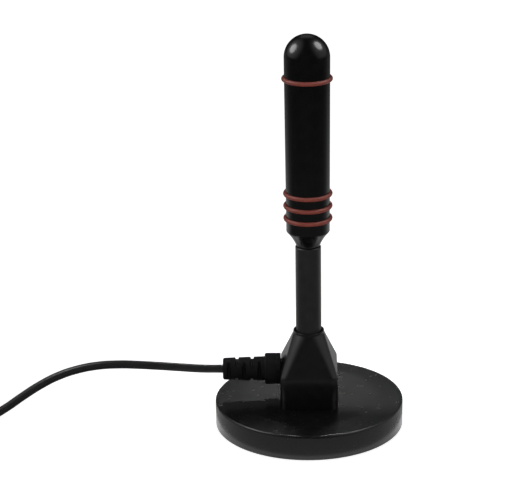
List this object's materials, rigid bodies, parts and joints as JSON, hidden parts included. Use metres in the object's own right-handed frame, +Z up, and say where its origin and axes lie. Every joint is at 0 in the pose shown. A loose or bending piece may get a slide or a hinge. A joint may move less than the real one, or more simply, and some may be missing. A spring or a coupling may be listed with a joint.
{
  "type": "indoor tv antenna",
  "caption": "Short indoor TV antenna: black sleeve with red rubber rings on a slim stem, magnetic disc base, coaxial lead coiled and tied, ending in an aerial plug.",
  "frame": {"origin": "middle of the base's underside, on the surface it stands on", "axes": "+Z up along the mast, -X along the cable's exit, -Y towards the viewer of the picture"},
  "size_m": [0.311, 0.0973, 0.1806],
  "materials": {
    "cover_gloss": "glossy moulded ABS",
    "block_gloss": "satin to glossy moulded ABS",
    "stem_matt": "matt black plastic",
    "sleeve_gloss": "polished black ABS",
    "ring_red": "dull red silicone rubber",
    "relief_pvc": "soft black PVC",
    "cable_pvc": "semi-gloss black PVC jacket",
    "pad_foam": "soft foam rubber",
    "plate_matt": "finely textured ABS",
    "magnet_ferrite": "sintered ferrite",
    "disc_steel": "zinc-plated sheet",
    "screw_steel": "zinc-plated",
    "board_laminate": "green circuit board",
    "strap_copper": "bare copper",
    "wire_insulation": "red PVC insulation",
    "element_brass": "drawn brass",
    "spacer_nylon": "natural nylon",
    "tie_plastic": "black plastic tie",
    "plug_nickel": "nickel-plated brass"
  },
  "bodies": {
    "root": {"base_cover": "cover_gloss", "bottom_plate": "plate_matt", "foot_pad": "pad_foam", "ring_magnet": "magnet_ferrite", "ground_plate": "disc_steel", "plate_screws": "screw_steel", "block_screws": "screw_steel", "mount_block": "block_gloss", "feed_board": "board_laminate", "board_screws": "screw_steel", "ground_strap": "strap_copper", "stem": "stem_matt", "feed_wire": "wire_insulation", "lower_cap": "sleeve_gloss", "mast_sleeve": "sleeve_gloss", "lower_ring_1": "ring_red", "lower_ring_2": "ring_red", "lower_ring_3": "ring_red", "top_ring": "ring_red", "tip_cap": "sleeve_gloss", "element_tube": "element_brass", "element_plug": "element_brass", "element_spacer": "spacer_nylon", "strain_relief": "relief_pvc", "cable_root": "cable_pvc", "cable_lead": "cable_pvc", "cable_coil": "cable_pvc", "cable_tail": "cable_pvc", "coil_ties": "tie_plastic", "plug_grip": "relief_pvc", "plug_shell": "plug_nickel", "plug_insulator": "spacer_nylon", "plug_pin": "plug_nickel"}
  },
  "joints": []
}
